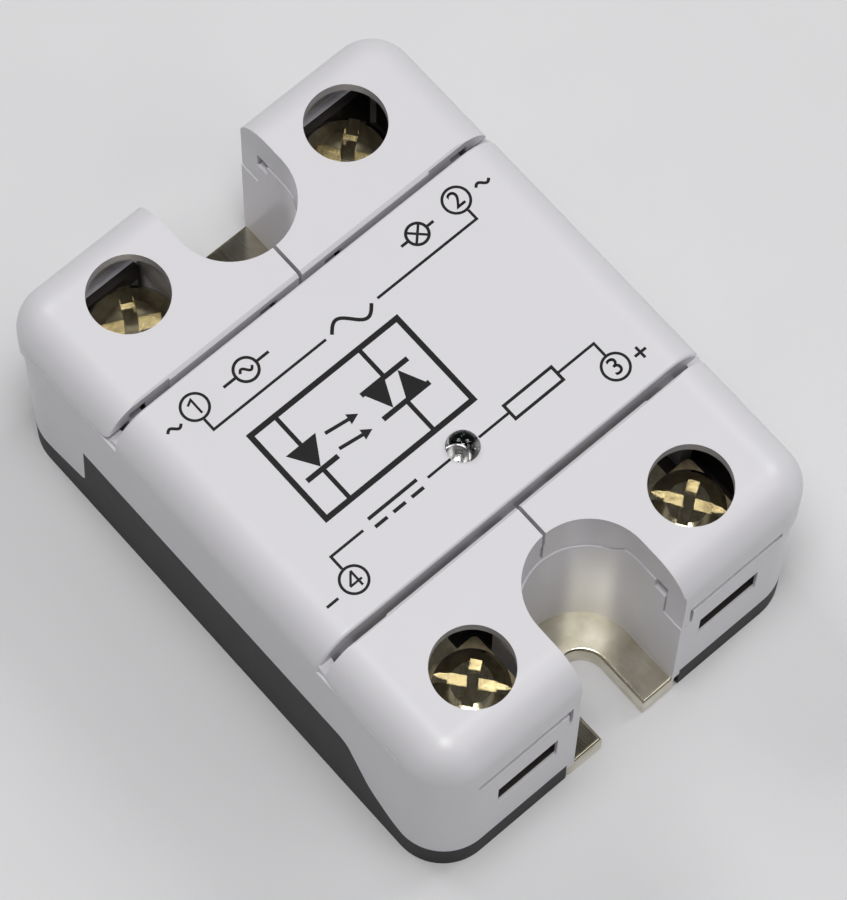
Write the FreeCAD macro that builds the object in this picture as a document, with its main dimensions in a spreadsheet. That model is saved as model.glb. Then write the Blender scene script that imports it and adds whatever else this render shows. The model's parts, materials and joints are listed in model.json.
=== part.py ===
import FreeCAD, Part
import Sketcher
import math
import os
import re

# Panel-mount solid state relay with four screw terminals under flip covers.
# Frame: +X across the width, +Y along the length towards the load terminals, +Z up,
# origin at the centre of the underside of the base plate.

V = FreeCAD.Vector
doc = FreeCAD.newDocument("solid_state_relay")

# ---------------------------------------------------------------- driving dimensions (mm)
DIMENSIONS = {
    # overall body
    "body_width": 44.8,
    "body_length": 60.0,
    "panel_top": 28.0,
    "corner_round": 5.1,
    "top_round": 4.0,
    "wall": 1.6,
    "edge_round": 0.35,
    # base plate and its fixings
    "plate_thick": 2.8,
    "plate_round": 0.3,
    "tongue_half": 6.9,
    "fixing_width": 5.1,
    "hole_from_middle": 23.6,
    "slot_from_middle": 24.4,
    # notches at both ends
    "notch_radius": 6.0,
    "notch_step": 0.12,
    "notch_centre": 24.0,
    "notch_wall": 1.3,
    "notch_seam": 20.6,
    "notch_mouth_seam": 16.7,
    "notch_mouth_from": 27.6,
    "notch_line": 24.8,
    # dark lower frame
    "frame_side_top": 13.0,
    "frame_end_top": 4.0,
    "web_near": 14.2,
    "web_far": 16.5,
    # centre panel and chamber
    "panel_half": 13.75,
    "chamber_half": 12.2,
    "panel_skin": 1.8,
    "tab_near": 3.3,
    "tab_far": 9.2,
    # terminal bays
    "bay_floor_top": 10.8,
    "bay_floor_under": 7.4,
    "divider_half": 0.8,
    "side_seam": 24.0,
    "seam_turn": 25.0,
    "end_seam": 19.4,
    "seam_gap": 0.1,
    "window_low": 10.95,
    "window_lip": 0.3,
    "input_window_high": 14.85,
    "load_window_high": 16.4,
    "window_near": 8.5,
    "window_far": 15.5,
    # flip covers
    "cover_near": 14.45,
    "cover_top": 27.7,
    "cover_drop": 0.1,
    "cover_round": 4.3,
    "cover_skin": 1.4,
    "below_cover": 10.0,
    "cover_flange": 0.8,
    "cover_flange_low": 25.2,
    "slit_half": 0.18,
    "skirt_thick": 0.95,
    "swing_radius": 2.2,
    "rear_step": 0.15,
    "rear_step_from": 15.15,
    "pry_slit_near": 6.9,
    "pry_slit_far": 17.9,
    "pry_slit_high": 20.6,
    "pry_lip": 0.25,
    "pry_groove_deep": 1.4,
    "latch_near": 20.9,
    "latch_far": 27.7,
    "latch_high": 22.5,
    "latch_swing": 7.12,
    "latch_top": 22.2,
    "latch_end": 26.2,
    "tongue_top": 22.0,
    "tongue_thick": 0.9,
    "driver_hole": 7.7,
    # dark terminal carriers in the bays
    "carrier_gap": 0.08,
    "carrier_wall": 0.8,
    "carrier_low": 4.05,
    "carrier_top": 18.8,
    "below_half": 4.25,
    # cover hinges
    "hinge_out": 16.2,
    "hinge_up": 26.0,
    "pin_radius": 0.5,
    "pin_clearance": 0.05,
    "post_radius": 0.8,
    "stem_back": 0.15,
    "heel_radius": 1.85,
    "post_width": 1.6,
    "inner_post": 3.0,
    "outer_post": 18.0,
    "lug_radius": 1.0,
    "lug_width": 1.2,
    "lug_gap": 0.15,
    # terminals
    "terminal_side": 12.7,
    "terminal_out": 23.0,
    "strip_width": 8.0,
    "load_strip": 1.2,
    "input_strip": 1.0,
    "strip_bend": 8.0,
    "strip_foot": 6.6,
    "strip_end": 27.2,
    "load_clamp": 1.5,
    "input_clamp": 1.2,
    "load_washer": 1.0,
    "input_washer": 0.9,
    "load_thread": 2.5,
    "input_thread": 2.0,
    "load_head": 4.4,
    "input_head": 3.5,
    "load_head_high": 3.2,
    "input_head_high": 2.6,
    "load_long": 10.0,
    "input_long": 10.8,
    "thread_clearance": 0.08,
    "load_lift": 2.8,
    "input_lift": 6.9,
    "load_nut": 8.0,
    "input_nut": 7.0,
    "load_nut_thick": 2.7,
    "input_nut_thick": 2.3,
    # power stage
    "ceramic_long": 34.0,
    "ceramic_wide": 22.0,
    "ceramic_thick": 0.64,
    "pad_thick": 0.3,
    "chip_side": 7.0,
    "chip_thick": 0.5,
    "jumper_thick": 0.5,
    # control board
    "board_wide": 38.0,
    "pillar_radius": 1.5,
    "pillar_side": 17.0,
    "pillar_along": 9.6,
    "board_long": 22.8,
    "board_thick": 1.6,
    "board_under": 15.0,
    # indicator
    "led_radius": 1.5,
    "led_back": 7.3,
    "led_rise": 1.4,
    "led_under": 23.5,
}

sheet = doc.addObject("Spreadsheet::Sheet", "dims")
for row, (alias, value) in enumerate(DIMENSIONS.items(), start=1):
    sheet.set("A%d" % row, alias)
    sheet.set("B%d" % row, str(value))
    sheet.setAlias("B%d" % row, alias)
doc.recompute()


probe = doc.addObject("App::FeaturePython", "probe")
probe.addProperty("App::PropertyFloat", "Reading")


def size(text):
    """The present value of a formula written with the sheet's aliases."""
    probe.setExpression("Reading", formula(text))
    probe.recompute()
    return float(probe.Reading)


def formula(text):
    """The same formula, as an expression that refers to the sheet."""
    return re.sub(r"[a-z_]+", lambda word: "dims." + word.group() if word.group() in DIMENSIONS
                  else word.group(), str(text))


def bind(item, **links):
    for name, text in links.items():
        item.setExpression(name.replace("__", "."), formula(text))
    return item


# ---------------------------------------------------------------- primitives and booleans
def block(name, x, y, z):
    """A box between (low, high) pairs."""
    item = doc.addObject("Part::Box", name)
    for side, axis, (low, high) in (("Length", "x", x), ("Width", "y", y), ("Height", "z", z)):
        item.setExpression(side, formula("(%s) - (%s)" % (high, low)))
        item.setExpression("Placement.Base." + axis, formula(low))
    return item


TURNS = {
    "x": FreeCAD.Rotation(V(0, 1, 0), 90),
    "y": FreeCAD.Rotation(V(1, 0, 0), -90),
    "z": FreeCAD.Rotation(),
}


def rod(name, axis, radius, centre, span):
    """A cylinder along an axis; centre holds the other two coordinates in X, Y, Z order."""
    item = doc.addObject("Part::Cylinder", name)
    item.Placement = FreeCAD.Placement(V(), TURNS[axis])
    low, high = span
    others = [name for name in "xyz" if name != axis]
    bind(item, Radius=radius, Height="(%s) - (%s)" % (high, low))
    item.setExpression("Placement.Base." + axis, formula(low))
    for other, place in zip(others, centre):
        item.setExpression("Placement.Base." + other, formula(place))
    return item


def fuse(name, parts):
    item = doc.addObject("Part::MultiFuse", name)
    item.Shapes = parts
    item.Refine = True
    return item


def cut(name, base, *tools):
    for number, tool in enumerate(tools):
        item = doc.addObject("Part::Cut", "%s_%d" % (name, number))
        item.Base = base
        item.Tool = tool
        item.Refine = True
        base = item
    return base


def common(name, first, second):
    item = doc.addObject("Part::Common", name)
    item.Base = first
    item.Tool = second
    return item


def mirrored(name, source, normal):
    item = doc.addObject("Part::Mirroring", name)
    item.Source = source
    item.Normal = V(*normal)
    return item


def four_ways(name, source):
    """A quadrant's shape together with its mirror images in the other three quadrants."""
    pair = fuse(name + "_pair", [source, mirrored(name + "_left", source, (1, 0, 0))])
    return fuse(name, [pair, mirrored(name + "_far", pair, (0, 1, 0))])


def two_ends(name, source):
    return fuse(name, [source, mirrored(name + "_far", source, (0, 1, 0))])


def round_edges(name, base, radius, chosen):
    """A fillet on the edges that the test picks."""
    doc.recompute()
    item = doc.addObject("Part::Fillet", name)
    item.Base = base
    amount = size(radius)
    item.Edges = [(i, amount, amount) for i, edge in enumerate(base.Shape.Edges, start=1) if chosen(edge)]
    return item


def ends(edge):
    return [vertex.Point for vertex in edge.Vertexes]


def upright(edge):
    points = ends(edge)
    return len(points) == 2 and (points[0] - points[1]).cross(V(0, 0, 1)).Length < 1e-6


def profile(name, corners, span):
    """A closed outline in the YZ plane, with a radius at each corner, drawn out along X."""
    points = [V(0, y, z) for y, z, _ in corners]
    count = len(points)
    edges = []
    last = None
    first = None
    for i, (_, _, radius) in enumerate(corners):
        here = points[i]
        back = (points[i - 1] - here).normalize()
        ahead = (points[(i + 1) % count] - here).normalize()
        start, finish = here, here
        if radius:
            half = back.getAngle(ahead) / 2
            reach = radius / math.tan(half)
            start = here + back * reach
            finish = here + ahead * reach
            inward = (back + ahead).normalize()
            middle = here + inward * (radius / math.sin(half) - radius)
        if last is not None and (start - last).Length > 1e-6:
            edges.append(Part.makeLine(last, start))
        if radius:
            edges.append(Part.Arc(start, middle, finish).toShape())
        first = first or start
        last = finish
    edges.append(Part.makeLine(last, first))
    low, high = span
    item = doc.addObject("Part::Feature", name)
    item.Shape = Part.Face(Part.Wire(edges)).extrude(V(high - low, 0, 0))
    item.Placement = FreeCAD.Placement(V(low, 0, 0), FreeCAD.Rotation())
    return item


def u_block(name, radius, low, high):
    """The plan of the end notch, one radius wide each side, drawn up from low to high."""
    nose = rod(name + "_nose", "z", radius, ("0", "notch_centre"), (low, high))
    mouth = block(name + "_mouth", ("-(%s)" % radius, radius), ("notch_centre", "body_length / 2 + 2"),
                  (low, high))
    return fuse(name, [nose, mouth])


# ---------------------------------------------------------------- part design helpers
def body(label):
    item = doc.addObject("PartDesign::Body", label)
    item.Label = label
    return item


def sketch(owner, name, role="XY_Plane", height="0"):
    item = owner.newObject("Sketcher::SketchObject", name)
    plane = next(part for part in owner.Origin.OriginFeatures if part.Role == role)
    item.AttachmentSupport = (plane, [""])
    item.MapMode = "FlatFace"
    item.setExpression("AttachmentOffset.Base.z", formula(height))
    return item


def polygon(item, corners):
    """A closed outline whose corners are held to formulas."""
    places = [(size(x), size(y)) for x, y in corners]
    count = len(corners)
    first = item.GeometryCount
    for i, (x, y) in enumerate(places):
        far = places[(i + 1) % count]
        item.addGeometry(Part.LineSegment(V(x, y, 0), V(far[0], far[1], 0)))
    for i in range(count):
        item.addConstraint(Sketcher.Constraint("Coincident", first + i, 2, first + (i + 1) % count, 1))
    for i, corner in enumerate(corners):
        x, y = places[i]
        for kind, text, value in (("DistanceX", corner[0], x), ("DistanceY", corner[1], y)):
            number = item.addConstraint(Sketcher.Constraint(kind, -1, 1, first + i, 1, value))
            item.setExpression("Constraints[%d]" % number, formula(text))


def rectangle(item, x, y):
    polygon(item, [(x[0], y[0]), (x[1], y[0]), (x[1], y[1]), (x[0], y[1])])


def circle(item, x, y, radius):
    number = item.addGeometry(Part.Circle(V(size(x), size(y), 0), V(0, 0, 1), size(radius)))
    for kind, text in (("DistanceX", x), ("DistanceY", y)):
        place = item.addConstraint(Sketcher.Constraint(kind, -1, 1, number, 3, size(text)))
        item.setExpression("Constraints[%d]" % place, formula(text))
    place = item.addConstraint(Sketcher.Constraint("Radius", number, size(radius)))
    item.setExpression("Constraints[%d]" % place, formula(radius))


def pad(owner, drawing, length, centred=False):
    item = owner.newObject("PartDesign::Pad", drawing.Name + "_pad")
    item.Profile = drawing
    if centred:
        item.SideType = "Symmetric"
    bind(item, Length=length)
    drawing.Visibility = False
    return item


def pocket(owner, drawing, length, upward=False):
    """A pocket that has to take something away."""
    doc.recompute()
    before = owner.Shape.Volume
    item = owner.newObject("PartDesign::Pocket", drawing.Name + "_pocket")
    item.Profile = drawing
    item.Reversed = upward
    bind(item, Length=length)
    doc.recompute()
    if owner.Shape.Volume > before - 1e-4:
        raise RuntimeError("nothing cut by " + item.Name)
    return item


def fillet(owner, base, radius, chosen):
    doc.recompute()
    names = ["Edge%d" % i for i, edge in enumerate(base.Shape.Edges, start=1) if chosen(edge)]
    item = owner.newObject("PartDesign::Fillet", owner.Name + "_fillet")
    item.Base = (base, names)
    bind(item, Radius=radius)
    return item


def revolve(owner, drawing):
    item = owner.newObject("PartDesign::Revolution", drawing.Name + "_turned")
    item.Profile = drawing
    item.ReferenceAxis = (drawing, ["V_Axis"])
    item.Angle = 360
    return item


def put(item, x="0", y="0", z="0", turn=0):
    item.Placement = FreeCAD.Placement(V(), FreeCAD.Rotation(V(0, 0, 1), turn))
    bind(item, Placement__Base__x=x, Placement__Base__y=y, Placement__Base__z=z)
    return item


SIDES = {"left": "-1", "right": "1"}
nodes = []


def node(item, label):
    item.Label = label
    nodes.append(item)
    return item


# ---------------------------------------------------------------- base plate
def make_base_plate():
    owner = body("base_plate")
    fit = "(wall + 0.05)"
    half_wide = "body_width / 2 - " + fit
    half_long = "body_length / 2 - " + fit
    middle = sketch(owner, "plate_outline")
    rectangle(middle, ("-(%s)" % half_wide, half_wide), ("-(%s)" % half_long, half_long))
    slab = pad(owner, middle, "plate_thick")
    fillet(owner, slab, "corner_round - wall", upright)
    tongues = sketch(owner, "plate_tongues")
    rectangle(tongues, ("-tongue_half", "tongue_half"), ("-body_length / 2", "body_length / 2"))
    last = pad(owner, tongues, "plate_thick")
    fillet(owner, last, "0.8", lambda edge: upright(edge) and
           abs(abs(ends(edge)[0].y) - size("body_length / 2")) < 1e-6)
    hole = sketch(owner, "plate_hole", height="plate_thick")
    circle(hole, "0", "hole_from_middle", "fixing_width / 2")
    pocket(owner, hole, "plate_thick")
    slot_end = sketch(owner, "plate_slot_end", height="plate_thick")
    circle(slot_end, "0", "-slot_from_middle", "fixing_width / 2")
    pocket(owner, slot_end, "plate_thick")
    slot = sketch(owner, "plate_slot", height="plate_thick")
    rectangle(slot, ("-fixing_width / 2", "fixing_width / 2"), ("-body_length / 2 - 1", "-slot_from_middle"))
    cut_out = pocket(owner, slot, "plate_thick")
    top = size("plate_thick")
    tip = size("body_length / 2") - 0.9
    reach = size("fixing_width / 2") + 0.01
    fix_near = size("hole_from_middle - fixing_width / 2") - 0.01

    def worked_edge(edge):
        points = ends(edge)
        if any(abs(point.z - top) > 1e-6 for point in points):
            return False
        at_tip = all(abs(point.y) > tip for point in points)
        at_fixing = all(abs(point.x) < reach and abs(point.y) > fix_near for point in points)
        return at_tip or at_fixing

    fillet(owner, cut_out, "plate_round", worked_edge)
    node(owner, "base_plate")


# ---------------------------------------------------------------- shells
def rounded_block(name, inset, z):
    """The body's plan, drawn in by an inset, with its four upright corners rounded."""
    half_wide = "body_width / 2 - (%s)" % inset
    half_long = "body_length / 2 - (%s)" % inset
    plain = block(name + "_plain", ("-(%s)" % half_wide, half_wide), ("-(%s)" % half_long, half_long), z)
    return round_edges(name, plain, "corner_round - (%s)" % inset, upright)


def make_lower_frame(outside):
    inside = rounded_block("frame_inside", "wall", ("-1", "panel_top"))
    ring = cut("frame_ring", outside, inside)
    side_top = size("frame_side_top")
    end_top = size("frame_end_top")
    reach = size("body_length / 2 + 1")
    half_wide = size("body_width / 2 + 1")
    shade = profile("frame_side_view", [
        (-reach, -1, 0), (-reach, end_top - 0.2, 0), (-24.2, end_top, 5), (-20.6, 7.0, 6),
        (-17.4, side_top, 1.8), (18.9, side_top, 0), (19.3, end_top + 1.4, 0.9),
        (24.0, end_top + 0.2, 6), (reach, end_top, 0), (reach, -1, 0)], (-half_wide, half_wide))
    walls = common("frame_walls", ring, shade)
    gap = block("frame_gap", ("-tongue_half", "tongue_half"), ("panel_half", "body_length / 2 + 1"),
                ("-1", "frame_side_top + 1"))
    open_walls = cut("frame_open", walls, two_ends("frame_gaps", gap))
    web = block("frame_web", ("wall - body_width / 2 - 0.2", "body_width / 2 - wall + 0.2"),
                ("web_near", "web_far"), ("plate_thick", "frame_end_top"))
    return node(fuse("lower_frame", [open_walls, two_ends("frame_webs", web)]), "lower_frame")


def hinge_post(name, start):
    """A post with a rounded, bored head, on a web from the bulkhead."""
    across = (start, "%s + post_width" % start)
    web = block(name + "_web", across, ("panel_half - 0.2", "hinge_out + post_radius"),
                ("bay_floor_top + 0.1", "hinge_up - 2.4"))
    stem = block(name + "_stem", across, ("hinge_out - stem_back", "hinge_out + post_radius"),
                 ("bay_floor_top + 0.1", "hinge_up"))
    head = rod(name + "_head", "x", "post_radius", ("hinge_out", "hinge_up"), across)
    bore = rod(name + "_bore", "x", "pin_radius + pin_clearance", ("hinge_out", "hinge_up"),
               ("%s - 1" % start, "%s + post_width + 1" % start))
    return cut(name, fuse(name + "_solid", [web, stem, head]), bore)


def wire_window(side, high):
    """The wire way in an end wall: a thin lip outside, more room behind it, and a bevelled sill."""
    lip = "body_length / 2 - window_lip"
    inside = "body_length / 2 - wall - 1"
    way = block(side + "_window_way", ("window_near", "window_far"), (inside, "body_length / 2 + 1"),
                ("window_low", high))
    room = block(side + "_window_room", ("window_near - 0.6", "window_far + 0.6"), (inside, lip),
                 ("window_low - 0.5", high + " + 0.6"))
    end = size("body_length / 2")
    low = size("window_low")
    sill = profile(side + "_window_sill", [
        (end - 0.4, low + 0.2, 0), (end - 0.4, low, 0), (end + 0.2, low - 0.7, 0),
        (end + 0.2, low + 0.2, 0)], (size("window_near"), size("window_far")))
    return fuse(side + "_window", [way, room, sill])


def latch_arc(name, radius):
    """The room a cover's skirt needs behind its latch window as the cover turns."""
    return rod(name, "x", radius, ("hinge_out", "hinge_up"), ("-body_width", "body_width"))


def make_upper_housing(outside, frame):
    low = common("housing_low", outside, block("housing_band", ("-body_width", "body_width"),
                 ("-body_length", "body_length"), ("plate_thick", "side_seam")))
    panel_plain = block("panel_plain", ("-body_width / 2", "body_width / 2"), ("-panel_half", "panel_half"),
                        ("plate_thick", "panel_top"))
    panel_top = size("panel_top")
    panel = round_edges("panel_sides", panel_plain, "top_round", lambda edge: all(
        point.z > panel_top - 1e-6 for point in ends(edge)) and abs(ends(edge)[0].x - ends(edge)[1].x) < 1e-6)
    crest = size("panel_top - top_round") + 1e-3
    panel_half = size("panel_half")
    panel = round_edges("panel_soft", panel, "edge_round", lambda edge: all(
        abs(abs(point.y) - panel_half) < 1e-6 and point.z > crest - 2e-3 for point in ends(edge))
        and abs(ends(edge)[0].y - ends(edge)[1].y) < 1e-6)
    tab = block("panel_tab", ("tab_near", "tab_far"), ("panel_half - 0.2", "panel_half + 0.1"),
                ("bay_floor_top + 11", "panel_top - 0.6"))
    shell = fuse("housing_block", [low, panel, four_ways("panel_tabs", tab)])

    chamber = block("chamber", ("wall - body_width / 2", "body_width / 2 - wall"),
                    ("-chamber_half", "chamber_half"), ("0", "panel_top - panel_skin"))
    bay_plain = block("bay_plain", ("divider_half", "body_width / 2 - wall"),
                      ("panel_half", "body_length / 2 - wall"), ("0", "panel_top + 2"))
    corner = size("body_width / 2 - wall")
    far = size("body_length / 2 - wall")

    def outer_corner(edge):
        return upright(edge) and abs(ends(edge)[0].x - corner) < 1e-6 and abs(ends(edge)[0].y - far) < 1e-6

    bay = round_edges("bay_round", bay_plain, "corner_round - wall", outer_corner)
    ring = u_block("notch_outside", "notch_radius + notch_wall", "-1", "panel_top + 3")
    bays = cut("bay_space", bay, ring)
    shell = cut("housing_hollow", shell, chamber, four_ways("bays", bays))

    notch = u_block("notch_inside", "notch_radius", "-1", "panel_top + 3")
    latch_bar = block("latch_bar", ("-panel_half", "panel_half"), ("latch_near - 0.5", "latch_end"),
                      ("notch_seam - 1", "latch_top"))
    latch_keep = cut("latch_keep", latch_bar, latch_arc("latch_keep_arc", "latch_swing + 0.1"))
    past_wall = "notch_radius + notch_wall + 0.05"
    upper = u_block("notch_upper", past_wall, "notch_seam", "panel_top + 3")
    notch_back = cut("notch_above_wall", upper, latch_keep)
    notch_mouth = block("notch_lower_mouth", ("-(%s)" % past_wall, past_wall),
                        ("notch_mouth_from", "body_length / 2 + 1"), ("notch_mouth_seam", "panel_top + 3"))
    notch_top = fuse("notch_above", [notch_back, notch_mouth])
    far_edge = size("body_length / 2 + 1")
    inner_end = size("body_length / 2 - wall")
    above = size("panel_top + 3")
    end_seam = size("end_seam")
    side_seam = size("side_seam")
    half_wide = size("body_width / 2 + 1")
    level_far = size("seam_turn - 3")
    turn_far = size("seam_turn")
    end_drop = profile("end_drop", [
        (level_far, side_seam, 0), (turn_far, side_seam, 3), (inner_end, end_seam, 1.5),
        (far_edge, end_seam, 0), (far_edge, above, 0), (level_far, above, 0)], (-half_wide, half_wide))
    openings = fuse("end_openings", [notch, notch_top, end_drop])
    shell = cut("housing_ends", shell, two_ends("both_end_openings", openings))
    groove = block("pry_groove", ("pry_slit_near", "pry_slit_far"),
                   ("body_length / 2 - wall - 0.5", "body_length / 2 - pry_lip"),
                   ("end_seam - pry_groove_deep", "end_seam + 1"))
    shell = cut("housing_grooves", shell, four_ways("pry_grooves", groove))

    for side, high in (("load", "load_window_high"), ("input", "input_window_high")):
        window = wire_window(side, high)
        pair = fuse(side + "_windows", [window, mirrored(side + "_window_left", window, (1, 0, 0))])
        if side == "input":
            pair = mirrored("input_windows_far", pair, (0, 1, 0))
        shell = cut("housing_" + side, shell, pair)
        across = ("terminal_side - strip_width / 2 - 0.05", "terminal_side + strip_width / 2 + 0.05")
        way = block(side + "_strip_way", across, ("chamber_half - 0.5", "panel_half + 0.5"),
                    ("bay_floor_top - 0.05", "bay_floor_top + %s_strip + 0.05" % side))
        both = fuse(side + "_ways", [way, mirrored(side + "_way_left", way, (1, 0, 0))])
        if side == "input":
            both = mirrored("input_ways_far", both, (0, 1, 0))
        shell = cut("housing_%s_ways" % side, shell, both)

    led_hole = rod("led_hole", "z", "led_radius + 0.05", ("0", "-led_back"), ("led_under", "panel_top + 1"))
    shell = cut("housing_led", shell, led_hole, frame)

    shoulder_low = size("side_seam")
    near = size("panel_half")
    shoulder = profile("hinge_shoulder", [
        (near - 0.2, shoulder_low - 0.2, 0), (near + 1.35, shoulder_low - 0.2, 0),
        (near + 1.25, shoulder_low, 0), (near, shoulder_low + 1.25, 0),
        (near - 0.2, shoulder_low + 1.25, 0)], (size("body_width / 2 - wall"), size("body_width / 2 - 0.25")))
    tongue_near = "notch_radius + notch_wall - 0.2"
    latch = block("latch_tongue", (tongue_near, tongue_near + " + tongue_thick"),
                  ("latch_near - 0.4", "latch_far + 0.3"), ("bay_floor_top + 0.1", "tongue_top"))
    posts = [hinge_post("inner_hinge_post", "inner_post"), hinge_post("outer_hinge_post", "outer_post")]
    extras = four_ways("housing_extras", fuse("extras", posts + [shoulder, latch]))
    pillar = rod("board_pillar", "z", "pillar_radius", ("pillar_side", "pillar_along"),
                 ("board_under + board_thick", "panel_top - panel_skin + 0.2"))
    return node(fuse("upper_housing", [shell, extras, four_ways("pillars", pillar)]), "upper_housing")


def make_carriers(end):
    """The dark insulating trays in one end's bays: floor, nut seat, screw well, walls and window nose."""
    inset = "wall + carrier_gap"
    near = "panel_half + carrier_gap"
    outer = "body_width / 2 - (%s)" % inset
    far = "body_length / 2 - (%s)" % inset
    edge_x = size(outer)
    edge_y = size(far)
    plain = block(end + "_carrier_plain", ("divider_half + carrier_gap", outer), (near, far),
                  ("carrier_low", "carrier_top"))

    def outer_corner(edge):
        start = ends(edge)[0]
        return upright(edge) and abs(start.x - edge_x) < 1e-6 and abs(start.y - edge_y) < 1e-6

    solid = round_edges(end + "_carrier_block", plain, "corner_round - (%s)" % inset, outer_corner)
    ring = u_block(end + "_carrier_ring", "notch_radius + notch_wall + carrier_gap", "0", "panel_top")
    room = block(end + "_carrier_room", ("-1", outer + " - carrier_wall"),
                 ("panel_half - 1", far + " - carrier_wall"), ("bay_floor_top", "panel_top"))
    below = block(end + "_carrier_below", ("terminal_side - below_half", "terminal_side + below_half"),
                  ("web_far + 1.5", far + " - 1.5"), ("0", "bay_floor_under"))
    high = end + "_window_high"
    way = block(end + "_carrier_window", ("window_near", "window_far"),
                (far + " - carrier_wall - 1", "body_length / 2 + 1"), ("bay_floor_top", high + " + 0.1"))
    nose = block(end + "_carrier_nose", ("window_near - 0.5", "window_far + 0.5"),
                 (far + " - 0.2", "body_length / 2 - window_lip - carrier_gap"),
                 ("window_low - 0.42", high + " + 0.5"))
    nut_half = "(%s_nut / 2 + 0.1)" % end
    seat = block(end + "_nut_seat", ("terminal_side - " + nut_half, "terminal_side + " + nut_half),
                 ("terminal_out - " + nut_half, "terminal_out + " + nut_half),
                 ("bay_floor_top - %s_nut_thick" % end, "bay_floor_top + 0.1"))
    well = rod(end + "_screw_well", "z", "%s_thread + 0.4" % end, ("terminal_side", "terminal_out"),
               ("0", "bay_floor_top"))
    tongue = block(end + "_carrier_latch", ("notch_radius", "notch_radius + notch_wall + tongue_thick"),
                   ("latch_near - 1", "body_length / 2"), ("bay_floor_top", "panel_top"))
    tray = cut(end + "_carrier_tray", solid, ring, room, tongue)
    right = cut(end + "_carrier", fuse(end + "_carrier_body", [tray, nose]), below, way, seat, well)
    if end == "input":
        right = mirrored("input_carrier_far", right, (0, 1, 0))
    node(right, end + "_carrier_right")
    node(mirrored(end + "_carrier_mirror", right, (1, 0, 0)), end + "_carrier_left")


def wedge(name, x, y, z, drop):
    """A block whose top falls by drop from the near end to the far end."""
    item = doc.addObject("Part::Wedge", name)
    bind(item, Xmin=x[0], X2min=x[0], Xmax=x[1], X2max=x[1], Ymin=y[0], Ymax=y[1], Zmin=z[0], Z2min=z[0],
         Zmax=z[1], Z2max="(%s) - (%s)" % (z[1], drop))
    return item


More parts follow.
